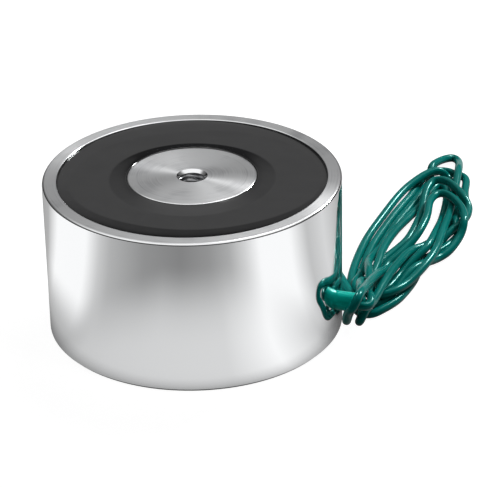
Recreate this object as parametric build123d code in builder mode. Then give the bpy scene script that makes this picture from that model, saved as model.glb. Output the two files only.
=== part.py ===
"""Round pot-type holding electromagnet with two flying leads.

A turned steel pot has a centre pole, an annular slot that holds the coil, and a threaded hole right
through its axis. The coil is wound on a moulded bobbin, taped, soldered to two hook-up wires and
potted. The wires leave side by side through one sleeve in the wall and end in a loose hank that
lies on the bench beside the pot.

Millimetres. +Z points up out of the working face, the origin is at the centre of the back face and
-Y is the front. Angles are in degrees from +X, seen from above.
"""

import os
from math import cos, radians, sin, tan

from build123d import *

# The pot: outside size, the slot for the coil and the pole that the slot goes round
pot_diameter = 50.0
pot_height = 27.0
rim_wall = 2.5
base_thickness = 4.2
pole_to_pot_diameter = 0.436
rim_outer_edge = 0.45
rim_inner_edge = 0.2
pole_edge = 0.3
back_edge = 0.5
slot_corner_radius = 0.5

# The mounting thread, drawn at its core diameter
thread_core_diameter = 4.2
thread_mouth_diameter = 5.2
thread_mouth_angle = 90.0

# The bobbin and the coil, and the room that is left round the coil for the leads
bobbin_pole_clearance = 0.15
bobbin_pot_clearance = 0.4
bobbin_tube_wall = 0.8
flange_thickness = 0.9
pour_notch_radius = 1.6
pour_notch_count = 4
pour_notch_angle = 45.0
lead_space = 4.45
tape_thickness = 0.2
tail_groove_width = 0.8
tail_groove_depth = 0.6
tail_groove_start = 0.05

# The potting compound: its level under the rim, and how it creeps up the steel
resin_recess = 0.65
resin_over_bobbin = 1.4
creep_height = 0.15
creep_width = 2.6

# The leads, and the enamelled wire that they are soldered to
wire_diameter = 1.5
conductor_diameter = 0.76
enamelled_diameter = 0.45
joint_diameter = 1.2
joint_length = 5.0
joint_sleeve_diameter = 2.2
joint_sleeve_wall = 0.3
joint_sleeve_length = 10.0
joint_tape_clearance = 0.35
joint_angle_from_exit = 52.0
lead_turn_angle = 6.5
tail_angle_past_joint = 27.0
tail_straight = 1.0
start_tail_swing = 1.4
start_tail_landing = 0.2
finish_tail_swing = 0.8
finish_tail_lean = 4.0
finish_tail_rise = 2.7

# The sleeve in the wall
exit_angle = -19.0
exit_flange_clearance = 0.2
exit_hole_edge = 0.45
exit_hole_edge_angle = 90.0
sleeve_wall = 0.12
sleeve_wire_play = 0.02
sleeve_hole_clearance = 0.05
sleeve_inside_reach = 0.9
sleeve_outside_reach = 3.0

# The hank lies this way, from the sleeve's mouth; its outline is given along it and to its left
hank_angle = 69.3
hank_outline = [
    (-3.1, -0.6),
    (3.0, 3.0),
    (14.0, 5.9),
    (27.0, 8.2),
    (41.0, 8.6),
    (56.0, 6.8),
    (68.0, 3.6),
    (71.6, 0.6),
    (68.6, -2.4),
    (60.0, -5.8),
    (42.0, -9.3),
    (28.0, -7.9),
    (12.0, -5.4),
    (2.0, -3.4),
]
hank_height = 4.6
hank_crown_start = 5.0
hank_crown_end = 20.0
hank_pot_gap = 0.4
hank_edge_radius = 0.4

# The free ends lie behind the pot: distance out from its wall, angle and height of each point
start_end_route = [
    (2.4, -1.0, 0.75),
    (1.5, 9.8, 0.75),
    (1.35, 22.2, 0.75),
    (1.55, 38.9, 0.75),
    (1.55, 54.4, 0.75),
]
finish_end_route = [
    (2.3, -3.2, 2.75),
    (1.65, 9.3, 2.3),
    (1.85, 19.6, 2.3),
    (3.4, 27.6, 0.85),
    (3.4, 39.8, 0.75),
    (3.7, 53.3, 0.75),
]
bare_length = 6.0

hank_length = hank_outline[7][0]
pot_radius = pot_diameter / 2
bore_radius = pot_radius - rim_wall
pole_radius = pole_to_pot_diameter * pot_radius
thread_core_radius = thread_core_diameter / 2
thread_mouth_radius = thread_mouth_diameter / 2

bobbin_radius = pole_radius + bobbin_pole_clearance
flange_radius = bore_radius - bobbin_pot_clearance
resin_level = pot_height - resin_recess
bobbin_top = resin_level - resin_over_bobbin
winding_bottom = base_thickness + flange_thickness
winding_top = bobbin_top - flange_thickness
winding_inner_radius = bobbin_radius + bobbin_tube_wall
winding_outer_radius = bore_radius - lead_space
tape_radius = winding_outer_radius + tape_thickness

wire_radius = wire_diameter / 2
enamelled_radius = enamelled_diameter / 2
wire_offset = wire_radius + sleeve_wire_play / 2
sleeve_bore_radius = wire_diameter + sleeve_wire_play
sleeve_radius = sleeve_bore_radius + sleeve_wall
sleeve_inner_end = bore_radius - sleeve_inside_reach
sleeve_outer_end = pot_radius + sleeve_outside_reach
exit_height = winding_bottom + exit_flange_clearance + sleeve_radius
joint_distance = tape_radius + joint_tape_clearance + joint_sleeve_diameter / 2


def around(radius, angle, z):
    """The point at this distance from the pot's axis, at this angle and height."""
    return Vector(radius * cos(radians(angle)), radius * sin(radians(angle)), z)


def beside(radius, angle, z, offset):
    """The same point moved to its left, square to the line out from the axis."""
    return around(radius, angle, z) + around(offset, angle + 90, 0)


def bend_radii(points):
    """The radius at each corner: 0.45 of its shorter run over the tangent of half its turn."""
    radii = []
    for before, corner, after in zip(points, points[1:], points[2:]):
        run_in, run_out = corner - before, after - corner
        half_turn = radians(run_in.get_angle(run_out)) / 2
        radii.append(0.45 * min(run_in.length, run_out.length) / tan(half_turn))
    return radii


def write(piece, name):
    """Labels a finished piece and writes it."""
    piece.part.label = name
    export_step(piece.part, f"parts/{name}.step")


def round_sweep(points, radius, bore=0.0):
    """A rod, or a tube with this bore radius, along straight runs joined by arcs."""
    radii = bend_radii(points)
    with BuildPart() as swept:
        with BuildLine() as route:
            if radii:
                FilletPolyline(*points, radius=radii)
            else:
                Line(*points)
        path = route.wire()
        with BuildSketch(Plane(origin=path @ 0, z_dir=path % 0)) as ring:
            Circle(radius)
            if bore:
                Circle(bore, mode=Mode.SUBTRACT)
        sweep()
    filled = swept.part.volume / (ring.sketch.area * path.length)
    bends = ", ".join(f"{r:.1f}" for r in radii) or "none"
    print(f"route of {path.length:.1f} mm, bend radii {bends}, volume {filled:.3f} of section by length")
    return swept


os.makedirs("parts", exist_ok=True)

# The pot, turned from one piece of steel: wall, base and centre pole
with BuildPart() as pot:
    with BuildSketch(Plane.XZ) as section:
        with BuildLine():
            Polyline(
                (0, 0),
                (pot_radius, 0),
                (pot_radius, pot_height),
                (bore_radius, pot_height),
                (bore_radius, base_thickness),
                (pole_radius, base_thickness),
                (pole_radius, pot_height),
                (0, pot_height),
                close=True,
            )
        make_face()
        top = section.vertices().group_by(Axis.Y)[-1].sort_by(Axis.X)
        chamfer(top[1], length=pole_edge)
        chamfer(top[2], length=rim_inner_edge)
        fillet(top[3], radius=rim_outer_edge)
        chamfer(section.vertices().group_by(Axis.Y)[0].sort_by(Axis.X)[-1], length=back_edge)
        slot_corners = section.vertices().filter_by(lambda v: abs(v.Y - base_thickness) < 1e-6)
        fillet(slot_corners, radius=slot_corner_radius)
    revolve(axis=Axis.Z)
    # The mounting hole, with a countersunk mouth at the working face and at the back
    for face_plane in (
        Plane(origin=(0, 0, pot_height)),
        Plane(origin=(0, 0, 0), z_dir=(0, 0, -1)),
    ):
        with Locations(face_plane):
            CounterSinkHole(
                radius=thread_core_radius,
                counter_sink_radius=thread_mouth_radius,
                depth=pot_height,
                counter_sink_angle=thread_mouth_angle,
            )
    # The hole for the leads, low in the wall, with its outer edge broken
    outward = around(1, exit_angle, 0)
    with Locations(Plane(origin=around(pot_radius, exit_angle, exit_height), z_dir=outward)):
        CounterSinkHole(
            radius=sleeve_radius + sleeve_hole_clearance,
            counter_sink_radius=sleeve_radius + sleeve_hole_clearance + exit_hole_edge,
            depth=rim_wall + sleeve_radius,
            counter_sink_angle=exit_hole_edge_angle,
        )
write(pot, "pot")

# The bobbin: a tube with two flanges, pour notches in the upper one and a groove for the inner
# end of the winding in the lower one
tail_angle = exit_angle - joint_angle_from_exit - tail_angle_past_joint
with BuildPart() as bobbin:
    with BuildSketch(Plane.XZ) as section:
        with BuildLine():
            Polyline(
                (bobbin_radius, base_thickness),
                (flange_radius, base_thickness),
                (flange_radius, winding_bottom),
                (winding_inner_radius, winding_bottom),
                (winding_inner_radius, winding_top),
                (flange_radius, winding_top),
                (flange_radius, bobbin_top),
                (bobbin_radius, bobbin_top),
                close=True,
            )
        make_face()
        seat = section.vertices().group_by(Axis.Y)[0]
        chamfer(seat, length=slot_corner_radius)
    revolve(axis=Axis.Z)
    with BuildSketch(Plane.XY.offset(winding_top)):
        with PolarLocations(flange_radius, pour_notch_count, start_angle=pour_notch_angle):
            Circle(pour_notch_radius)
    extrude(amount=flange_thickness, mode=Mode.SUBTRACT)
    groove_length = flange_radius - winding_inner_radius
    groove_plane = Plane(
        origin=around(winding_inner_radius, tail_angle, winding_bottom),
        x_dir=around(1, tail_angle, 0),
        z_dir=(0, 0, -1),
    )
    with BuildSketch(groove_plane):
        with Locations((tail_groove_start + tail_groove_width / 2, 0)):
            Circle(tail_groove_width / 2)
            Rectangle(groove_length, tail_groove_width, align=(Align.MIN, Align.CENTER))
    extrude(amount=tail_groove_depth, mode=Mode.SUBTRACT)
write(bobbin, "bobbin")


def lead_route(side):
    """A lead from the sleeve's mouth, in through the wall and round the coil to its joint."""
    joint_angle = exit_angle + side * joint_angle_from_exit
    turn_radius = sleeve_inner_end - sleeve_inside_reach
    before_joint = -side * (joint_sleeve_length / 2 + wire_diameter)
    return [
        beside(sleeve_outer_end, exit_angle, exit_height, side * wire_offset),
        beside(turn_radius, exit_angle, exit_height, side * wire_offset),
        around(turn_radius - wire_radius, exit_angle + side * lead_turn_angle, exit_height),
        beside(joint_distance, joint_angle, exit_height, before_joint),
        beside(joint_distance, joint_angle, exit_height, -side * joint_length / 2),
    ]


def on_joint(side, distance):
    """A point on the line of a joint, this far past its middle on the way to the winding."""
    joint_angle = exit_angle + side * joint_angle_from_exit
    return beside(joint_distance, joint_angle, exit_height, side * distance)


def after_joint(side):
    """The two points where a tail leaves its joint and the joint's sleeve."""
    past_sleeve = joint_sleeve_length / 2 + tail_straight
    return [on_joint(side, joint_length / 2), on_joint(side, past_sleeve)]


# The ends of the winding: the inner one comes out along the groove in the lower flange, the outer
# one from the last layer, through the tape
groove_height = winding_bottom - tail_groove_depth + enamelled_radius
start_tail = round_sweep(
    after_joint(-1)
    + [
        around(joint_distance + start_tail_swing, tail_angle, exit_height),
        around(joint_distance + start_tail_landing, tail_angle, groove_height),
        around(winding_inner_radius + enamelled_radius, tail_angle, groove_height),
    ],
    enamelled_radius,
)
finish_angle = exit_angle + joint_angle_from_exit + tail_angle_past_joint
finish_tail = round_sweep(
    after_joint(1)
    + [
        around(joint_distance + finish_tail_swing, finish_angle, exit_height + finish_tail_rise),
        around(winding_outer_radius, finish_angle + finish_tail_lean, exit_height + finish_tail_rise),
    ],
    enamelled_radius,
)
write(start_tail, "start_tail")
write(finish_tail, "finish_tail")

# The winding fills the bobbin between its flanges
with BuildPart() as coil_winding:
    with BuildSketch(Plane.XY.offset(winding_bottom)):
        Circle(winding_outer_radius)
        Circle(winding_inner_radius, mode=Mode.SUBTRACT)
    extrude(amount=winding_top - winding_bottom)
    add(finish_tail.part, mode=Mode.SUBTRACT)
write(coil_winding, "coil_winding")

# Two layers of tape hold the winding, slit where its outer end comes through
with BuildPart() as coil_tape:
    with BuildSketch(Plane.XY.offset(winding_bottom)):
        Circle(tape_radius)
        Circle(winding_outer_radius, mode=Mode.SUBTRACT)
    extrude(amount=winding_top - winding_bottom)
    add(finish_tail.part, mode=Mode.SUBTRACT)
write(coil_tape, "coil_tape")

# The solder joints, the tubing shrunk over them, and the leads as far as the sleeve's mouth
embedded = [bobbin, coil_winding, coil_tape, start_tail, finish_tail]
for side, end_name in ((-1, "start"), (1, "finish")):
    joint = round_sweep(
        [on_joint(side, -joint_length / 2), on_joint(side, joint_length / 2)], joint_diameter / 2
    )
    joint_sleeve_ends = [
        on_joint(side, -joint_sleeve_length / 2),
        on_joint(side, joint_sleeve_length / 2),
    ]
    joint_sleeve = round_sweep(
        joint_sleeve_ends,
        joint_sleeve_diameter / 2,
        bore=joint_sleeve_diameter / 2 - joint_sleeve_wall,
    )
    joint_envelope = round_sweep(joint_sleeve_ends, joint_sleeve_diameter / 2)
    conductor = round_sweep(lead_route(side), conductor_diameter / 2)
    insulation = round_sweep(lead_route(side), wire_radius, bore=conductor_diameter / 2)
    lead_envelope = round_sweep(lead_route(side), wire_radius)
    write(joint, f"{end_name}_joint")
    write(joint_sleeve, f"{end_name}_joint_sleeve")
    write(conductor, f"{end_name}_lead_conductor")
    write(insulation, f"{end_name}_lead_insulation")
    embedded += [joint_envelope, lead_envelope]

# The sleeve through the wall holds both leads side by side
sleeve_ends = [
    around(sleeve_inner_end, exit_angle, exit_height),
    around(sleeve_outer_end, exit_angle, exit_height),
]
lead_sleeve = round_sweep(sleeve_ends, sleeve_radius, bore=sleeve_bore_radius)
sleeve_envelope = round_sweep(sleeve_ends, sleeve_radius)
write(lead_sleeve, "lead_sleeve")

# The potting compound fills the slot round everything in it, and creeps up the rim and the pole
with BuildPart() as potting_compound:
    with BuildSketch(Plane.XZ) as section:
        with BuildLine() as outline:
            creep_top = resin_level + creep_height
            inner_flat, outer_flat = pole_radius + creep_width, bore_radius - creep_width
            Line((pole_radius, creep_top), (pole_radius, base_thickness))
            Line((pole_radius, base_thickness), (bore_radius, base_thickness))
            Line((bore_radius, base_thickness), (bore_radius, creep_top))
            TangentArc((outer_flat, resin_level), (bore_radius, creep_top), tangent=(1, 0))
            Line((inner_flat, resin_level), (outer_flat, resin_level))
            TangentArc((inner_flat, resin_level), (pole_radius, creep_top), tangent=(-1, 0))
        make_face()
        slot_corners = section.vertices().filter_by(lambda v: abs(v.Y - base_thickness) < 1e-6)
        fillet(slot_corners, radius=slot_corner_radius)
    revolve(axis=Axis.Z)
    for piece in embedded + [sleeve_envelope]:
        add(piece.part, mode=Mode.SUBTRACT)
write(potting_compound, "potting_compound")

# The free ends of the leads, with their conductors bared and tinned
free_ends = []
for end_name, route in (("start", start_end_route), ("finish", finish_end_route)):
    points = [around(pot_radius + out, angle, z) for out, angle, z in route]
    free_end = round_sweep(points, wire_radius)
    along_end = (points[-1] - points[-2]).normalized()
    bare_tip = round_sweep([points[-1], points[-1] + along_end * bare_length], conductor_diameter / 2)
    write(free_end, f"{end_name}_free_end")
    write(bare_tip, f"{end_name}_bare_tip")
    free_ends.append(free_end)

# The hank: the outer shape of the leads' turns, which hook round the sleeve at this end and lie
# flat further out
sleeve_mouth = around(sleeve_outer_end, exit_angle, 0)
along_hank = around(1, hank_angle, 0)
hank_crown = exit_height + sleeve_radius + wire_diameter
hank_slope_middle = (hank_crown_start + hank_crown_end) / 2
with BuildPart() as lead_hank:
    with BuildSketch(Plane(origin=sleeve_mouth, x_dir=along_hank, z_dir=(0, 0, 1))):
        with BuildLine():
            Spline(*hank_outline, periodic=True)
        make_face()
    extrude(amount=hank_crown)
    with BuildSketch(Plane(origin=sleeve_mouth, x_dir=along_hank, z_dir=around(1, hank_angle - 90, 0))):
        with BuildLine():
            Polyline(
                (hank_crown_end, hank_height),
                (2 * hank_length, hank_height),
                (2 * hank_length, 0),
                (-hank_length, 0),
                (-hank_length, hank_crown),
                (hank_crown_start, hank_crown),
            )
            Bezier(
                (hank_crown_start, hank_crown),
                (hank_slope_middle, hank_crown),
                (hank_slope_middle, hank_height),
                (hank_crown_end, hank_height),
            )
        make_face()
    extrude(amount=hank_length, both=True, mode=Mode.INTERSECT)
    outline_edges = lead_hank.edges().filter_by(GeomType.BSPLINE)
    fillet(outline_edges.filter_by(lambda e: e.center().Z > hank_height / 2), radius=hank_edge_radius)
    with BuildSketch(Plane.XY):
        Circle(pot_radius + hank_pot_gap)
    extrude(amount=hank_crown, mode=Mode.SUBTRACT)
    for piece in [sleeve_envelope] + free_ends:
        add(piece.part, mode=Mode.SUBTRACT)
write(lead_hank, "lead_hank")
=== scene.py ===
"""The looks of a round pot-type holding electromagnet with two flying leads.

The steel pot, the skin of the set resin, the leads and their bare ends are modelled here. The other
pieces keep their CAD solids and get their finishes. Places are in millimetres, in the part's frame:
+Z out of the holding face, -Y to the front, the origin in the middle of the back face.
"""

from math import atan2, cos, pi, radians, sin

import bpy
import numpy as np
from mathutils import Matrix, Vector


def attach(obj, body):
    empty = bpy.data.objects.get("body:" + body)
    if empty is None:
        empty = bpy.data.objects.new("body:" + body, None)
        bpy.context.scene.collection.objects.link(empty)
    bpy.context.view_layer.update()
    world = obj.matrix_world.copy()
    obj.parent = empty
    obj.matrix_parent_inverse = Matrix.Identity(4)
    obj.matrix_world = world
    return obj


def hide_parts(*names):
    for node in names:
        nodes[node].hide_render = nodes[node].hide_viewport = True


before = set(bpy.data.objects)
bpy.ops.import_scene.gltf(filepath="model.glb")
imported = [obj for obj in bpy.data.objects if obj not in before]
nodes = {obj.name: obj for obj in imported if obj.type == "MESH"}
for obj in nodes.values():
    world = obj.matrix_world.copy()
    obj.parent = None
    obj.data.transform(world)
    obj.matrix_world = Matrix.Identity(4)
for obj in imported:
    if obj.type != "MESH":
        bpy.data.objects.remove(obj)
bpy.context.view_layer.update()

bpy.ops.object.select_all(action="DESELECT")

MM = 0.001

# The pot, as the part's source has it
pot_radius = 25.0
pot_height = 27.0
bore_radius = 22.5
pole_radius = 10.9
slot_floor = 4.2
slot_corner_radius = 0.5
rim_outer_edge = 0.45
rim_inner_edge = 0.2
pole_edge = 0.3
back_edge = 0.5
exit_bearing = -19
exit_angle = radians(exit_bearing)
exit_height = 6.94
exit_hole_edge = 0.45
sleeve_radius = 1.64
sleeve_hole_clearance = 0.05
sleeve_mouth_radius = 28.0
thread_core_radius = 2.1
thread_mouth_radius = 2.6
thread_depth = 0.38
thread_pitch = 0.8

# How the threads are cut: what the crest and one flank take of half a pitch, and how far below the
# face the grooves end and how long they take to run out
thread_crest = 0.2
thread_flank = 0.65
thread_end_depth = 0.45
thread_run_out = 0.35

# The set resin: its level, the height of its skin's hidden edge, and how it climbs the steel
resin_level = 26.42
resin_skin_edge = 26.1
rim_climb_slope = 0.12
pole_climb = 0.56
pole_climb_width = 3.05

# The leads
wire_radius = 0.75
conductor_radius = 0.38
bare_length = 6.0
strand_radius = 0.127
strand_lay = 5.0
strand_steps = 32
strand_start = -1.0
strand_spread_start = 4.5
strand_spread = 0.1
hank_angle = radians(69.3)
start_length = 0.412
finish_length = 0.361


def around(radius, angle, z):
    """The point at this distance from the pot's axis, at this angle in degrees and this height."""
    return np.array([radius * cos(radians(angle)), radius * sin(radians(angle)), z])


def activate(thing):
    """Makes an object the only selected one and the active one."""
    bpy.ops.object.select_all(action="DESELECT")
    thing.select_set(True)
    bpy.context.view_layer.objects.active = thing


# Colours and nodes


def colour(hex_code):
    """An sRGB hex colour as Blender's linear one."""
    channels = [int(hex_code[i : i + 2], 16) / 255 for i in (0, 2, 4)]
    linear = [c / 12.92 if c <= 0.04045 else ((c + 0.055) / 1.055) ** 2.4 for c in channels]
    return (*linear, 1.0)


def add(tree, kind, inputs=None, **settings):
    """Adds a shader node, sets it, and gives its inputs their values or links."""
    node = tree.nodes.new("ShaderNode" + kind)
    for name, value in settings.items():
        setattr(node, name, value)
    for name, value in (inputs or {}).items():
        if isinstance(value, bpy.types.NodeSocket):
            tree.links.new(value, node.inputs[name])
        else:
            node.inputs[name].default_value = value
    return node


def material(name, **sockets):
    """A new material with one Principled shader, and the object coordinates for its patterns."""
    made = bpy.data.materials.new(name)
    made.use_nodes = True
    shader = made.node_tree.nodes["Principled BSDF"]
    for socket, value in sockets.items():
        shader.inputs[socket.replace("_", " ")].default_value = value
    place = add(made.node_tree, "TexCoord").outputs["Object"]
    return made, made.node_tree, shader, place


def ramp(tree, factor, *stops):
    """A colour ramp from (position, hex colour) stops."""
    node = add(tree, "ValToRGB", {"Fac": factor})
    elements = node.color_ramp.elements
    while len(elements) < len(stops):
        elements.new(0.5)
    for element, (position, code) in zip(elements, stops):
        element.position = position
        element.color = colour(code)
    return node.outputs["Color"]


def noise(tree, place, scale, detail=2.0, roughness=0.5):
    """A noise pattern's value; scale is in cells per metre."""
    settings = {"Vector": place, "Scale": scale, "Detail": detail, "Roughness": roughness}
    return add(tree, "TexNoise", settings).outputs["Fac"]


def bumped(tree, shader, height, distance, strength=1.0):
    """Gives a shader a bump from this height."""
    bump = add(tree, "Bump", {"Height": height, "Distance": distance, "Strength": strength})
    tree.links.new(bump.outputs["Normal"], shader.inputs["Normal"])


# PVC hook-up wire insulation: extruded, so smooth and glossy, with a faint waviness along the wire
insulation, tree, shader, place = material("pvc_insulation_teal", IOR=1.53, Roughness=0.22)
shader.inputs["Specular IOR Level"].default_value = 0.15
shader.inputs["Specular Tint"].default_value = colour("30fff0")
tone = noise(tree, place, 140.0, 3.0)
tree.links.new(ramp(tree, tone, (0.3, "00605a"), (0.7, "006c66")), shader.inputs["Base Color"])
bumped(tree, shader, noise(tree, place, 420.0, 2.0), 0.00003)

# Insulating tubing of the leads' green, a little duller. Its base colour is painted lighter than the
# leads', a painted highlight for the light that falls on the sleeve
tubing, tree, shader, place = material("insulating_tubing_teal", IOR=1.5, Roughness=0.28)
shader.inputs["Specular IOR Level"].default_value = 0.2
shader.inputs["Specular Tint"].default_value = colour("30fff0")
tone = noise(tree, place, 260.0, 3.0)
tree.links.new(ramp(tree, tone, (0.3, "00a090"), (0.7, "00b0a0")), shader.inputs["Base Color"])
bumped(tree, shader, noise(tree, place, 700.0, 2.0), 0.00003)

# Bright zinc-plated mild steel, ground on the outside: mirror-like, with faint waves from the plating
plated_wall, tree, shader, place = material("zinc_plated_steel_ground", Metallic=1.0, Roughness=0.07)
shader.inputs["Base Color"].default_value = colour("f9fafb")
stretched = add(tree, "Mapping", {"Vector": place, "Scale": (1.0, 1.0, 0.15)}).outputs["Vector"]
bumped(tree, shader, noise(tree, stretched, 60.0, 2.0), 0.00003)

# The same plating over a faced surface. The tool leaves rings a tenth of a millimetre apart, which
# spread the light across them; they are drawn three times as coarse, to show at all
plated_face, tree, shader, place = material("zinc_plated_steel_turned", Metallic=1.0, Roughness=0.28)
shader.inputs["Anisotropic"].default_value = 0.8
shader.inputs["Anisotropic Rotation"].default_value = 0.25
round_axis = add(tree, "Tangent", direction_type="RADIAL", axis="Z").outputs["Tangent"]
tree.links.new(round_axis, shader.inputs["Tangent"])
flat_place = add(tree, "VectorMath", {0: place, 1: (1.0, 1.0, 0.0)}, operation="MULTIPLY").outputs[0]
from_axis = add(tree, "VectorMath", {0: flat_place}, operation="LENGTH").outputs["Value"]
ring_place = add(tree, "CombineXYZ", {"X": from_axis}).outputs["Vector"]
rings = noise(tree, ring_place, 3200.0, 3.0, 0.7)
cloud = noise(tree, place, 180.0, 2.0)
uneven = add(tree, "Math", {0: rings, 1: cloud}, operation="ADD").outputs["Value"]
tree.links.new(ramp(tree, uneven, (0.75, "c6c7c9"), (1.0, "e4e5e6")), shader.inputs["Base Color"])
bumped(tree, shader, rings, 0.000006)

# Cut threads, plated thinly: duller and darker than the faces
cut_thread, tree, shader, place = material("zinc_plated_steel_tapped", Metallic=1.0, Roughness=0.32)
tone = noise(tree, place, 1500.0, 3.0)
tree.links.new(ramp(tree, tone, (0.3, "8d8e90"), (0.7, "b4b5b7")), shader.inputs["Base Color"])
bumped(tree, shader, noise(tree, place, 2600.0, 2.0), 0.00001)

# Casting resin that set glossy against the steel: nearly black, with a little dust in it
resin, tree, shader, place = material("casting_resin_black", IOR=1.52, Roughness=0.1)
tone = noise(tree, place, 300.0, 4.0)
tree.links.new(ramp(tree, tone, (0.3, "101011"), (0.7, "161617")), shader.inputs["Base Color"])
bumped(tree, shader, noise(tree, place, 160.0, 2.0), 0.00003)

# Tinned copper strands
tinned, tree, shader, place = material("tinned_copper_strands", Metallic=1.0, Roughness=0.28)
tone = noise(tree, place, 900.0, 3.0)
tree.links.new(ramp(tree, tone, (0.3, "b3b1ac"), (0.7, "cfcdc8")), shader.inputs["Base Color"])
bumped(tree, shader, noise(tree, place, 1600.0, 2.0), 0.00002)

# Enamelled copper winding wire: copper under clear amber enamel, 0.45 mm a turn. Each turn is a band
# whose darker part is painted shade in the crevice between the turns
enamelled, tree, shader, place = material("enamelled_copper_wire", Metallic=0.9, Roughness=0.25)
turns = add(
    tree, "TexWave", {"Vector": place, "Scale": 698.0}, wave_type="BANDS", bands_direction="Z"
).outputs["Fac"]
tree.links.new(ramp(tree, turns, (0.1, "5a2410"), (0.5, "b4592c")), shader.inputs["Base Color"])
bumped(tree, shader, turns, 0.0001)

# Glass-filled nylon, moulded in its natural colour
nylon, tree, shader, place = material("glass_filled_nylon_moulded", IOR=1.53, Roughness=0.45)
tone = noise(tree, place, 500.0, 4.0)
tree.links.new(ramp(tree, tone, (0.3, "d5d0bf"), (0.7, "e2decf")), shader.inputs["Base Color"])
bumped(tree, shader, noise(tree, place, 2500.0, 2.0), 0.00002)

# Polyester coil tape: a thin glossy yellow film that shows the turns under it, as bands whose darker
# parts are painted shade in the grooves between the turns
tape, tree, shader, place = material("polyester_coil_tape", IOR=1.6, Roughness=0.2)
turns = add(
    tree, "TexWave", {"Vector": place, "Scale": 698.0}, wave_type="BANDS", bands_direction="Z"
).outputs["Fac"]
tree.links.new(ramp(tree, turns, (0.2, "c48f1c"), (0.6, "dcae2f")), shader.inputs["Base Color"])
bumped(tree, shader, turns, 0.00003)

# Soft solder, bright where it ran smooth
solder, tree, shader, place = material("soft_solder", Metallic=1.0, Roughness=0.3)
tone = noise(tree, place, 1200.0, 4.0)
tree.links.new(ramp(tree, tone, (0.3, "9a9b9d"), (0.7, "c3c4c6")), shader.inputs["Base Color"])
bumped(tree, shader, noise(tree, place, 1500.0, 3.0), 0.00006)

# Black polyolefin tubing, shrunk on: satin, with faint wrinkles
shrunk, tree, shader, place = material("polyolefin_shrunk_tubing", IOR=1.5, Roughness=0.4)
tone = noise(tree, place, 900.0, 3.0)
tree.links.new(ramp(tree, tone, (0.3, "141414"), (0.7, "1e1e1e")), shader.inputs["Base Color"])
bumped(tree, shader, noise(tree, place, 1100.0, 3.0), 0.00008)

finishes = {
    "pot": plated_wall,
    "bobbin": nylon,
    "coil_winding": enamelled,
    "coil_tape": tape,
    "start_tail": enamelled,
    "finish_tail": enamelled,
    "start_joint": solder,
    "finish_joint": solder,
    "start_joint_sleeve": shrunk,
    "finish_joint_sleeve": shrunk,
    "start_lead_conductor": tinned,
    "finish_lead_conductor": tinned,
    "start_lead_insulation": insulation,
    "finish_lead_insulation": insulation,
    "lead_sleeve": tubing,
    "potting_compound": resin,
    "start_free_end": insulation,
    "finish_free_end": insulation,
    "start_bare_tip": tinned,
    "finish_bare_tip": tinned,
    "lead_hank": insulation,
}
for name, finish in finishes.items():
    nodes[name].data.materials.clear()
    nodes[name].data.materials.append(finish)

# Turned shapes


def lathe(name, profile, steps, finish):
    """A piece turned round Z from the closed outline of its section, given as (radius, height)."""
    bpy.ops.object.select_all(action="DESELECT")
    bpy.ops.mesh.primitive_circle_add(vertices=len(profile), radius=pot_radius * MM)
    piece = bpy.context.object
    piece.name = piece.data.name = name
    for vertex, (radius, z) in zip(piece.data.vertices, profile):
        vertex.co = (radius * MM, 0.0, z * MM)
    bpy.ops.object.mode_set(mode="EDIT")
    bpy.ops.mesh.select_all(action="SELECT")
    bpy.ops.mesh.spin(steps=steps, angle=2 * pi, center=(0, 0, 0), axis=(0, 0, 1))
    bpy.ops.mesh.select_all(action="SELECT")
    bpy.ops.mesh.remove_doubles(threshold=0.000002)
    bpy.ops.mesh.normals_make_consistent(inside=False)
    bpy.ops.object.mode_set(mode="OBJECT")
    piece.data.materials.append(finish)
    bpy.ops.object.shade_smooth()
    return piece


def arc(centre, radius, start, end, steps):
    """Points on an arc of a section, from one angle in degrees to another."""
    angles = np.radians(np.linspace(start, end, steps))
    return [(centre[0] + radius * cos(a), centre[1] + radius * sin(a)) for a in angles]


def between_0_and_1(value):
    """The value itself, or the nearer end of the range from 0 to 1."""
    return min(max(value, 0.0), 1.0)


def place_in(tree, low, high, value):
    """How far a value is on the way from low to high, kept between 0 and 1."""
    return add(tree, "MapRange", {"Value": value, "From Min": low, "From Max": high}).outputs["Result"]


# The pot's section, from the back's countersink up the hole, over the rim and round to the back
# again. A ring of points beside each edge keeps the flat faces flat to the light
hole_row_start = 0.1
hole_row_step = thread_pitch / 6
hole_heights = np.arange(hole_row_start, pot_height - hole_row_start / 2, hole_row_step)
hole_rows = [(thread_core_radius, z) for z in hole_heights]
corner_height = slot_floor + slot_corner_radius
pole_face_rings = (6.0, 10.5)
rim_face_rings = (22.76, 24.5)
back_face_ring = 12.0
pot_section = (
    [(thread_mouth_radius, 0.0)]
    + hole_rows
    + [(thread_mouth_radius, pot_height)]
    + [(radius, pot_height) for radius in pole_face_rings]
    + arc((pole_radius - pole_edge, pot_height - pole_edge), pole_edge, 80, 0, 5)
    + arc((pole_radius + slot_corner_radius, corner_height), slot_corner_radius, 180, 270, 4)
    + arc((bore_radius - slot_corner_radius, corner_height), slot_corner_radius, 270, 360, 4)
    + arc((bore_radius + rim_inner_edge, pot_height - rim_inner_edge), rim_inner_edge, 180, 90, 4)
    + [(radius, pot_height) for radius in rim_face_rings]
    + arc((pot_radius - rim_outer_edge, pot_height - rim_outer_edge), rim_outer_edge, 90, 0, 7)
    + [(pot_radius, pot_height / 2)]
    + [(pot_radius, back_edge), (pot_radius - back_edge, 0.0), (back_face_ring, 0.0)]
)
pot = lathe("pot_turned", pot_section, 144, plated_wall)

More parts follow.
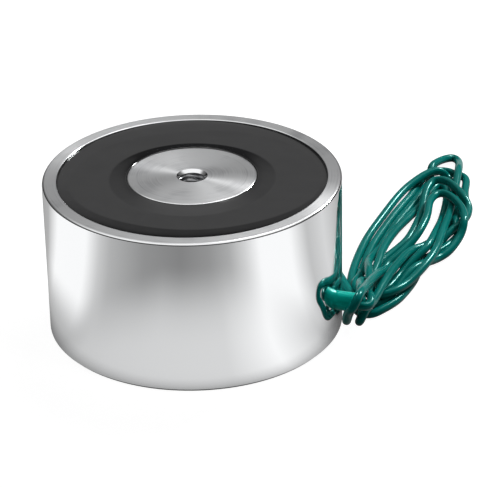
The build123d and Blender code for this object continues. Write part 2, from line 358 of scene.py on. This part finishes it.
# Threads in the hole: the wall is moved out into the grooves, which run out below the countersinks
for vertex in pot.data.vertices:
    x, y, z = vertex.co / MM
    if abs(x * x + y * y - thread_core_radius**2) > 0.01:
        continue
    phase = (z / thread_pitch - atan2(y, x) / (2 * pi)) % 1.0
    groove = between_0_and_1((1 - abs(2 * phase - 1) - thread_crest) / thread_flank)
    depth = min(z, pot_height - z)
    groove *= between_0_and_1((depth - thread_end_depth) / thread_run_out)
    radius = max(thread_core_radius + thread_depth * groove, thread_mouth_radius - depth)
    vertex.co *= radius / thread_core_radius
    vertex.co.z = z * MM

# The hole for the leads, with its edge broken, cut with a turned punch laid along the exit
hole_radius = sleeve_radius + sleeve_hole_clearance
punch_start = bore_radius - 1.0
punch_end = pot_radius + 0.3
edge_start = pot_radius - exit_hole_edge
punch_section = [
    (0.0, punch_start),
    (hole_radius, punch_start),
    (hole_radius, edge_start),
    (hole_radius + punch_end - edge_start, punch_end),
    (0.0, punch_end),
]
punch = lathe("punch", punch_section, 64, plated_wall)
lay_down = Matrix.Rotation(exit_angle, 4, "Z") @ Matrix.Rotation(pi / 2, 4, "Y")
punch.data.transform(Matrix.Translation((0, 0, exit_height * MM)) @ lay_down)
activate(pot)
cut = pot.modifiers.new("lead_hole", "BOOLEAN")
cut.operation = "DIFFERENCE"
cut.object = punch
bpy.ops.object.modifier_apply(modifier=cut.name)
bpy.data.objects.remove(punch)
pot.data.materials.clear()
for finish in (plated_wall, plated_face, cut_thread):
    pot.data.materials.append(finish)
wall_slot, face_slot, thread_slot = range(3)
for face in pot.data.polygons:
    x, y, z = face.center / MM
    radius = (x * x + y * y) ** 0.5
    if radius < thread_mouth_radius - 0.05 and min(z, pot_height - z) > thread_end_depth:
        face.material_index = thread_slot
    elif abs(face.normal.z) > 0.9:
        face.material_index = face_slot
    else:
        face.material_index = wall_slot
bpy.ops.object.shade_smooth_by_angle(angle=radians(32))
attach(pot, "root")
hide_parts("pot")

# The skin of the resin: level in the middle, and drawn up the rim and the pole as it set. At the rim
# that band is wide at the front and the back, and narrow at both sides, most of all at the right
skin_rows = np.linspace(pole_radius, bore_radius, 59)
skin_section = (
    [(pole_radius, resin_skin_edge)]
    + [(r, resin_level) for r in skin_rows]
    + [(bore_radius, resin_skin_edge)]
)
skin = lathe("resin_skin", skin_section, 180, resin)


def climb(distance, width, rise):
    """How high the resin stands at this distance from the steel: steepest where they touch."""
    if distance >= width:
        return 0.0
    near = 1 - distance / width
    return rise * (0.85 * near + 0.15 * near**5)


for vertex in skin.data.vertices:
    x, y, z = vertex.co / MM
    if z < (resin_skin_edge + resin_level) / 2:
        continue
    radius = (x * x + y * y) ** 0.5
    angle = atan2(y, x)
    outer_width = 2.45 - 1.1 * cos(2 * angle) - 0.6 * cos(angle) - 0.3 * sin(angle)
    outer_width += 0.12 * sin(5 * angle)
    inner_width = pole_climb_width + 0.12 * sin(3 * angle + 0.5)
    up = climb(bore_radius - radius, outer_width, rim_climb_slope * outer_width)
    up += climb(radius - pole_radius, inner_width, pole_climb)
    up += 0.004 * sin(4 * angle + 0.5 * radius) + 0.004 * sin(7 * angle - 0.8 * radius)
    vertex.co.z = (z + up) * MM
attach(skin, "root")

# The leads. Their points are given from the sleeve's mouth: along the hank, to its left, and up.
# Each list follows one lead out of the mouth and round its three turns

start_turns = [
    # out of the mouth and up the left side to the far tip
    (-0.76, 0, 6.94), (-0.9, -1.1, 6.9), (0.3, -2.1, 6.6), (2.6, -1.6, 6.7), (7, 0.2, 5.2),
    (11.5, 1.7, 3.9), (15.5, 2.5, 2.9), (23.4, 3.9, 1.4), (29.9, 4.5, 0.9), (36.6, 4.4, 0.8),
    (43.3, 3.8, 0.8), (50.6, 3.1, 0.8), (58, 2.8, 0.8), (61, 2.9, 1.1), (63.6, 3.4, 2.1),
    (67, 3.1, 1.8), (70.2, 2.5, 1.2), (72, 1.4, 0.8),
    # back down the right side to a hidden tip near the mouth
    (71, 0.1, 0.8), (67.8, -0.9, 1), (62.4, -2.1, 2.1), (55.6, -3.3, 2.1), (47.3, -4.7, 2.1),
    (38.3, -5.7, 2.4), (30.2, -6.1, 2.9), (24, -5.4, 2.6), (17.9, -4.4, 2.2), (14.1, -3.2, 2.4),
    (11.9, -1.5, 2.4), (11.5, 0.3, 2.3), (12.9, 1.7, 1.8),
    # the second turn
    (15.8, 2.4, 1), (20.5, 2.8, 0.8), (26, 2.5, 0.9), (30.8, 1.2, 1.3), (34.6, 0.1, 1.8),
    (39.9, 0, 2.1), (45.7, 0.5, 2.1), (50.7, 1.3, 2.7), (55.1, 1.3, 3.2), (56.3, -0.2, 3.6),
    (54.7, -2.8, 3.7), (51, -5.8, 3.6), (48.2, -7.7, 2.5), (43, -8.1, 1.8), (38.9, -6.8, 1.1),
    (35.6, -4.9, 1), (33.5, -3, 1.4), (29, -1.4, 2), (21.3, -1, 3.3), (14, -1, 4.1),
    (7.1, -1.3, 4.5), (3.8, -1.4, 4.8), (2, -1.2, 4.4), (1.2, -0.8, 3.3), (1.9, -0.2, 2.3),
    (4.6, 0.7, 2.2), (10, 2.5, 2.5),
    # the third turn
    (14.5, 3.8, 2.4), (18.5, 4.5, 1.5), (22.7, 5, 0.8), (30.5, 5.5, 0.8), (38.3, 5.3, 0.8),
    (46.7, 5, 0.8), (54, 4.4, 0.8), (59.5, 4.4, 0.8), (63.2, 3.9, 0.8), (65.3, 2.6, 0.8),
    (65.9, 0.9, 0.8), (65.6, -1, 0.8), (64.6, -2.7, 0.8), (62.2, -3.8, 0.8), (57.6, -4.7, 0.8),
    (51.4, -6.4, 0.8), (45.5, -7, 0.8), (39.5, -6.6, 0.8), (33.9, -5.8, 0.8), (28.5, -4.4, 0.8),
    (22.4, -4.6, 0.8), (17.4, -4.2, 0.8), (13.3, -3.4, 0.8), (9.9, -2.1, 0.8), (7.8, -0.8, 0.8),
    (7.5, 0.8, 0.8),
]
finish_turns = [
    # out of the mouth and up the left side, under the other lead
    (0.76, 0, 6.94), (1, -0.9, 6.9), (2.7, -0.8, 6.5), (5.4, 0, 6.4), (9.5, 1.2, 5),
    (13.5, 2.4, 3.3), (17.6, 2.8, 1.8), (22.9, 3.2, 2.2), (28.6, 3.3, 2.2), (36.9, 3.6, 1.6),
    (44.7, 3.3, 0.9), (50, 2.5, 0.8), (55.5, 2.4, 0.8), (58.5, 1.8, 0.8), (59.5, 0.4, 0.8),
    (58.2, -1, 0.8), (55, -1.9, 0.8), (51.3, -2.6, 0.8), (45, -3.5, 1), (37.2, -4.3, 1.9),
    (30.9, -4.4, 2.2), (26.8, -3.3, 1.4), (22.8, -1.8, 0.8), (18.6, -1.2, 0.8), (16.2, -0.3, 0.8),
    (15.7, 1, 0.8), (17.1, 2, 0.8),
    # the second turn
    (19.5, 2.3, 0.8), (24.9, 2.2, 0.8), (28, 0.5, 1.4), (31.1, -1, 2.2), (35.4, -1.8, 3.2),
    (40.8, -1.7, 3.7), (45.6, -0.9, 3.9), (49.2, -0.9, 3.7), (50.6, -2, 3.7), (49.4, -4.2, 3.7),
    (45.2, -7.2, 3.7), (40.7, -8.7, 3.7), (37.9, -8.7, 2.2), (33.8, -7.6, 1.1), (30.4, -5.9, 0.8),
    (26.3, -5.2, 1.6), (22.2, -4.2, 2.3), (17.6, -2.8, 1.2), (14, -2.2, 0.8), (11.5, -1.2, 0.8),
    (10.8, 0.4, 0.8), (11.4, 2, 0.8), (12.9, 3.6, 0.8),
    # the third turn, and its end that hangs over the mouth
    (14.9, 4.9, 0.8), (19.9, 6.2, 0.8), (27.6, 7.3, 0.8), (35.2, 7.7, 0.9), (42.7, 7.2, 1.3),
    (51.9, 6.2, 1.7), (57.6, 4.5, 2.1), (61.2, 3.1, 2.1), (62.5, 1.4, 2), (62.3, -0.3, 1),
    (59, -2.2, 0.8), (53.3, -4.2, 0.8), (47.6, -5.6, 0.8), (42.2, -5.9, 0.8), (37.5, -4.9, 0.8),
    (32.6, -3.1, 0.8), (27.4, -1.4, 1), (20.4, -0.1, 2.7), (12.2, 0.1, 5.2), (4.5, -0.2, 7),
    (-1.8, -0.9, 8.7), (-3.7, -0.7, 7.9), (-3, 0.3, 6.4), (-1.6, 0.9, 4.1), (2, 1.3, 3.6),
]

# The free ends lie behind the pot. Each point has its distance from the wall, its bearing in degrees
# and its height
start_end = [
    (2.4, -1, 0.75), (1.5, 9.8, 0.75), (1.35, 22.2, 0.75), (1.55, 38.9, 0.75), (1.55, 54.4, 0.75),
]
finish_end = [
    (2.3, -3.2, 2.75), (1.65, 9.3, 2.3), (1.85, 19.6, 2.3), (3.4, 27.6, 0.85), (3.4, 39.8, 0.75),
    (3.7, 53.3, 0.75),
]

mouth = around(sleeve_mouth_radius, exit_bearing, 0)
along_hank = np.array([cos(hank_angle), sin(hank_angle), 0])
left_of_hank = np.array([-sin(hank_angle), cos(hank_angle), 0])


def spline_points(turns, end):
    """Control points of a quadratic spline that passes a lead's turns and then follows its end."""
    turns = [mouth + s * along_hank + t * left_of_hank + np.array([0, 0, z]) for s, t, z in turns]
    end = [around(pot_radius + out, angle, z) for out, angle, z in end]
    places = np.vstack(turns + end)
    weights = np.eye(len(places))
    for row in range(1, len(turns)):
        weights[row, row - 1 : row + 2] = (0.125, 0.75, 0.125)
    return np.linalg.solve(weights, places)


def sample_weights(count, per_span=6):
    """How much each of a spline's samples takes of its control points."""
    rows = []
    for span in range(count - 2):
        for step in range(per_span):
            u = (step + 0.5) / per_span
            row = np.zeros(count)
            row[span : span + 3] = ((1 - u) ** 2 / 2, 0.5 + u * (1 - u), u**2 / 2)
            rows.append(row)
    return np.array(rows)


def settle(leads, end_points, rounds=300, spacing=1.57, pull=0.03):
    """Pushes the leads' turns apart where they touch, and off the floor, the pot and the sleeve.

    Two places of one lead are kept apart too, where they are more than own_part apart along it. The
    first own_start of each lead comes out of the sleeve, so the sleeve doesn't push it. The pull
    draws the points back to where they were given, during the pulled share of the rounds.
    """
    search_every = 10
    watched_distance_squared = 12.0
    own_part = 4.2
    own_start = 2.5
    sleeve_start = 24
    pulled_share = 0.7
    step_gain = 2.0
    floor_play = 0.02
    pot_play = 0.08
    sleeve_play = 0.06
    weights = [sample_weights(len(lead)) for lead in leads]
    owner = np.concatenate([np.full(len(rows), i) for i, rows in enumerate(weights)])
    first_sample = np.searchsorted(owner, owner)
    basis = np.zeros((len(owner), sum(len(lead) for lead in leads)))
    free = np.ones(basis.shape[1], bool)
    row = column = 0
    for rows, ends in zip(weights, end_points):
        basis[row : row + rows.shape[0], column : column + rows.shape[1]] = rows
        free[column : column + 2] = False
        row += rows.shape[0]
        column += rows.shape[1]
        free[column - ends : column] = False
    back = (basis / basis.sum(0)).T
    drawn = np.vstack(leads)
    points = drawn.copy()
    sleeve_axis = np.array([cos(exit_angle), sin(exit_angle), 0])
    for count in range(rounds):
        line = basis @ points
        if count % search_every == 0:
            steps = np.linalg.norm(np.diff(line, axis=0), axis=1)
            travel = np.concatenate([[0], np.cumsum(steps)])
            squares = (line**2).sum(1)
            apart = squares[:, None] + squares[None] - 2 * line @ line.T
            one, other = np.nonzero(np.triu(apart < watched_distance_squared, 1))
            strangers = (owner[one] != owner[other]) | (travel[other] - travel[one] > own_part)
            one, other = one[strangers], other[strangers]
        between = line[one] - line[other]
        distance = np.linalg.norm(between, axis=1)
        near = distance < spacing
        shift = between[near] * ((spacing / np.maximum(distance[near], 1e-6) - 1) / 2)[:, None]
        push = np.zeros_like(line)
        hits = np.zeros(len(line))
        np.add.at(push, one[near], shift)
        np.add.at(push, other[near], -shift)
        np.add.at(hits, one[near], 1)
        np.add.at(hits, other[near], 1)
        push /= np.maximum(hits, 1)[:, None]
        push[:, 2] += np.maximum(0, wire_radius + floor_play - line[:, 2])
        radius = np.hypot(line[:, 0], line[:, 1])
        too_near = np.maximum(0, pot_radius + wire_radius + pot_play - radius)
        push[:, :2] += line[:, :2] / radius[:, None] * too_near[:, None]
        reach = np.clip(line @ sleeve_axis, sleeve_start, sleeve_mouth_radius)
        on_axis = reach[:, None] * sleeve_axis
        off_axis = line - on_axis - np.array([0, 0, exit_height])
        distance = np.linalg.norm(off_axis, axis=1)
        elsewhere = travel - travel[first_sample] > own_start
        too_near = np.maximum(0, sleeve_radius + wire_radius + sleeve_play - distance) * elsewhere
        push += off_axis / np.maximum(distance, 1e-6)[:, None] * too_near[:, None]
        move = step_gain * back @ push
        if count < pulled_share * rounds:
            move += pull * (drawn - points)
        points[free] += move[free]
    return np.split(points, [len(leads[0])])


def cord_curve(name, points, radius):
    """A round cord along the smooth line that has these points as its control points."""
    curve = bpy.data.curves.new(name, "CURVE")
    curve.dimensions = "3D"
    curve.bevel_depth = radius * MM
    curve.bevel_resolution = 6
    curve.resolution_u = 6
    curve.use_fill_caps = True
    spline = curve.splines.new("NURBS")
    spline.points.add(len(points) - 1)
    for point, place in zip(spline.points, points):
        point.co = (*(place * MM), 1.0)
    spline.order_u = 3
    spline.use_endpoint_u = True
    spline.use_smooth = True
    curve.materials.append(insulation)
    cord = bpy.data.objects.new(name, curve)
    bpy.context.collection.objects.link(cord)
    return cord


start_points, finish_points = settle(
    [spline_points(start_turns, start_end), spline_points(finish_turns, finish_end)],
    (len(start_end), len(finish_end)),
)
start_lead = cord_curve("start_lead", start_points, wire_radius)
finish_lead = cord_curve("finish_lead", finish_points, wire_radius)


def bare_strands(name, root, before):
    """A lead's stripped end: six tinned strands twisted round a seventh, spread a little at the tip."""
    along = (root - before) / np.linalg.norm(root - before)
    sideways = np.cross(along, (0, 0, 1))
    curve = bpy.data.curves.new(name, "CURVE")
    curve.dimensions = "3D"
    curve.bevel_depth = strand_radius * MM
    curve.bevel_resolution = 3
    curve.use_fill_caps = True
    for strand in range(7):
        out_of_axis = 0.0 if strand == 6 else conductor_radius - strand_radius
        spline = curve.splines.new("POLY")
        spline.points.add(strand_steps)
        for step, point in enumerate(spline.points):
            travel = strand_start + (bare_length - strand_start) * step / strand_steps
            twist = 2 * pi * (strand / 6 + travel / strand_lay)
            spread = out_of_axis * (1 + strand_spread * max(travel - strand_spread_start, 0))
            place = root + travel * along
            place = place + spread * (cos(twist) * sideways + sin(twist) * np.array([0, 0, 1]))
            point.co = (*(place * MM), 1.0)
        spline.use_smooth = True
    curve.materials.append(tinned)
    strands = bpy.data.objects.new(name, curve)
    bpy.context.collection.objects.link(strands)
    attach(strands, "root")
    return strands


start_strands = bare_strands("start_bare_strands", start_points[-1], start_points[-2])
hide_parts("start_bare_tip")
finish_strands = bare_strands("finish_bare_strands", finish_points[-1], finish_points[-2])
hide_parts("finish_bare_tip")
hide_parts("lead_hank", "start_free_end")
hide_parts("lead_hank", "finish_free_end")
start_fixed = ["start_lead_insulation", "start_lead_conductor", "lead_sleeve"]
finish_fixed = ["finish_lead_insulation", "finish_lead_conductor"]
for lead, strands, points, length, fixed_pieces in (
    (start_lead, start_strands, start_points, start_length, start_fixed),
    (finish_lead, finish_strands, finish_points, finish_length, finish_fixed),
):
    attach(lead, "root")

# The floor is white to the camera. To the polished steel it is a paper sheet with light and shade
# painted on it: dim towards the front and at the back, bright at both sides. Bearings run from -pi
# to pi, and 0 is straight to the front
bpy.ops.object.select_all(action="DESELECT")
bpy.ops.mesh.primitive_plane_add(size=3.0)
floor = bpy.context.object
floor.name = "floor"
floor_paint, tree, shader, place = material("white_paper", Roughness=0.8)
shader.inputs["Base Color"].default_value = colour("1c1c1c")
from_axis = add(tree, "VectorMath", {0: place}, operation="LENGTH").outputs["Value"]
parts = add(tree, "SeparateXYZ", {"Vector": place})
front = add(tree, "Math", {0: parts.outputs["Y"], 1: -1.0}, operation="MULTIPLY").outputs["Value"]
bearing = add(tree, "Math", {0: parts.outputs["X"], 1: front}, operation="ARCTAN2").outputs["Value"]
turn = place_in(tree, -pi, pi, bearing)

# The light and shade painted on the paper by bearing, far from the pot and near it
far_stops = [
    (0.0, "d0d0d0"), (0.08, "9c9c9c"), (0.16, "b4b4b4"), (0.205, "ffffff"), (0.29, "ffffff"),
    (0.322, "cccccc"), (0.345, "b4b4b4"), (0.41, "949494"), (0.475, "868686"), (0.525, "969696"),
    (0.56, "adadad"), (0.59, "d6d6d6"), (0.618, "ffffff"), (0.68, "ffffff"), (0.722, "c4c4c4"),
    (0.77, "dadada"), (0.86, "a8a8a8"), (0.93, "e0e0e0"), (1.0, "d0d0d0"),
]
near_stops = [
    (0.0, "c4c4c4"), (0.2, "b0b0b0"), (0.3, "b8b8b8"), (0.335, "cccccc"), (0.38, "d2d2d2"),
    (0.44, "d6d6d6"), (0.54, "dadada"), (0.575, "ececec"), (0.61, "ffffff"), (0.65, "e8e8e8"),
    (0.69, "c4c4c4"), (1.0, "c4c4c4"),
]
far_tone = ramp(tree, turn, *far_stops)
near_tone = ramp(tree, turn, *near_stops)

# Where the near tone begins to give way to the far one, and where that ends, in metres from the
# axis: further out in front than at the sides
off_front = add(tree, "Math", {0: bearing}, operation="ABSOLUTE").outputs["Value"]
to_side = {"Value": off_front, "From Min": 0.35, "From Max": 1.25}
begins = add(tree, "MapRange", {**to_side, "To Min": 0.038, "To Max": 0.027}).outputs["Result"]
ends = add(tree, "MapRange", {**to_side, "To Min": 0.083, "To Max": 0.046}).outputs["Result"]
outwards = add(
    tree,
    "MapRange",
    {"Value": from_axis, "From Min": begins, "From Max": ends},
    interpolation_type="SMOOTHSTEP",
).outputs["Result"]
paper = add(tree, "Mix", {0: outwards, 6: near_tone, 7: far_tone}, data_type="RGBA").outputs[2]

# Painted shade on the mirrored paper: the dark line at the pot's foot, and the shade round whatever
# stands on the paper, taken from an occlusion node
at_foot = place_in(tree, 0.0248, 0.0318, from_axis)
shade = ramp(tree, at_foot, (0.0, "bcbcbc"), (0.1, "f0f0f0"), (0.3, "fbfbfb"), (1.0, "ffffff"))
paper = add(
    tree, "Mix", {0: 1.0, 6: paper, 7: shade}, data_type="RGBA", blend_type="MULTIPLY"
).outputs[2]
shaded = add(tree, "AmbientOcclusion", {"Color": paper, "Distance": 0.0045}, samples=8)
reflected = add(tree, "Emission", {"Color": shaded.outputs["Color"], "Strength": 1.0})

# What each kind of ray finds: a dark matt floor, the paper in mirrors, and white for the camera
seen = add(tree, "LightPath").outputs
glow = add(tree, "Emission", {"Color": (1, 1, 1, 1), "Strength": 0.94})
matt = add(tree, "BsdfDiffuse", {"Color": (0.3, 0.3, 0.3, 1)})
white = add(tree, "AddShader", {0: glow.outputs[0], 1: matt.outputs[0]})
in_mirrors = {0: seen["Is Glossy Ray"], 1: shader.outputs[0], 2: reflected.outputs[0]}
lit = add(tree, "MixShader", in_mirrors)
to_camera = {0: seen["Is Camera Ray"], 1: lit.outputs[0], 2: white.outputs[0]}
mixed = add(tree, "MixShader", to_camera)
tree.links.new(mixed.outputs[0], tree.nodes["Material Output"].inputs["Surface"])
floor.data.materials.append(floor_paint)

# The studio: soft light from above, dark near the horizon, and a screen behind the pot that is
# brightest in the middle. Little of it reaches matt surfaces, which the lamps light
world = bpy.data.worlds.new("studio")
bpy.context.scene.world = world
world.use_nodes = True
tree = world.node_tree
tree.nodes.clear()
direction = add(tree, "SeparateXYZ", {"Vector": add(tree, "TexCoord").outputs["Generated"]}).outputs
height = direction["Z"]
aside = add(tree, "Math", {0: direction["X"], 1: direction["Y"]}, operation="ARCTAN2").outputs["Value"]
aside = add(tree, "Math", {0: aside}, operation="ABSOLUTE").outputs["Value"]
on_screen = place_in(tree, 0.1, 0.75, aside)
screen = ramp(tree, on_screen, (0.0, "ffffff"), (0.45, "b4b4b4"), (1.0, "9a9a9a"))
sky_stops = [
    (0.0, "0c0c0c"), (0.2, "2c2c2c"), (0.33, "848484"), (0.44, "adadad"), (0.6, "c8c8c8"),
    (0.72, "f8f8f8"), (1.0, "ffffff"),
]
sky = ramp(tree, height, *sky_stops)
low_down = place_in(tree, 0.75, 0.55, height)
sky = add(
    tree, "Mix", {0: low_down, 6: sky, 7: screen}, data_type="RGBA", blend_type="MULTIPLY"
).outputs[2]
seen = add(tree, "LightPath").outputs
fill = add(tree, "MapRange", {"Value": seen["Is Diffuse Ray"], "To Min": 1.0, "To Max": 0.03})
backdrop = add(tree, "Mix", {0: seen["Is Camera Ray"], 6: sky, 7: (1, 1, 1, 1)}, data_type="RGBA")
light = add(tree, "Background", {"Color": backdrop.outputs[2], "Strength": fill.outputs["Result"]})
add(tree, "OutputWorld", {"Surface": light.outputs[0]})


def softbox(name, place, target, size, watts):
    """A square lamp at one place that faces another."""
    lamp = bpy.data.lights.new(name, "AREA")
    lamp.shape = "SQUARE"
    lamp.size = size
    lamp.energy = watts
    thing = bpy.data.objects.new(name, lamp)
    bpy.context.collection.objects.link(thing)
    thing.location = place
    thing.rotation_euler = (Vector(target) - Vector(place)).to_track_quat("-Z", "Y").to_euler()
    thing.visible_camera = False
    return thing


softbox("key", (0.19, 0.35, 0.69), (0, 0, 0), 0.24, 0.7)
softbox("side", (0.48, 0.47, 0.48), (0.03, 0, 0), 0.14, 7.4)
low_lamp = softbox("low", (0.54, -0.38, 0.44), (0.03, 0, 0), 0.2, 0.7)
low_lamp.visible_glossy = False

# The camera, at the photograph's angle
camera_data = bpy.data.cameras.new("camera")
camera_data.lens = 172.67
camera_data.sensor_width = 36.0
camera_data.sensor_fit = "HORIZONTAL"
camera_data.clip_start = 0.01
camera = bpy.data.objects.new("camera", camera_data)
bpy.context.collection.objects.link(camera)
camera_x, camera_y, camera_z = 0.0, -0.35126, 0.19565
camera_yaw = radians(1.371)
camera_pitch = radians(27.358)
camera_roll = radians(-1.188)
level_reach = cos(camera_pitch)
forward = Vector((
    sin(camera_yaw) * level_reach,
    cos(camera_yaw) * level_reach,
    -sin(camera_pitch),
))
level_right = Vector((cos(camera_yaw), -sin(camera_yaw), 0))
level_up = level_right.cross(forward)
right = cos(camera_roll) * level_right + sin(camera_roll) * level_up
up = cos(camera_roll) * level_up - sin(camera_roll) * level_right
camera.matrix_world = Matrix((
    (right.x, up.x, -forward.x, camera_x),
    (right.y, up.y, -forward.y, camera_y),
    (right.z, up.z, -forward.z, camera_z),
    (0.0, 0.0, 0.0, 1.0),
))
bpy.context.scene.camera = camera
bpy.context.scene.view_settings.view_transform = "Standard"
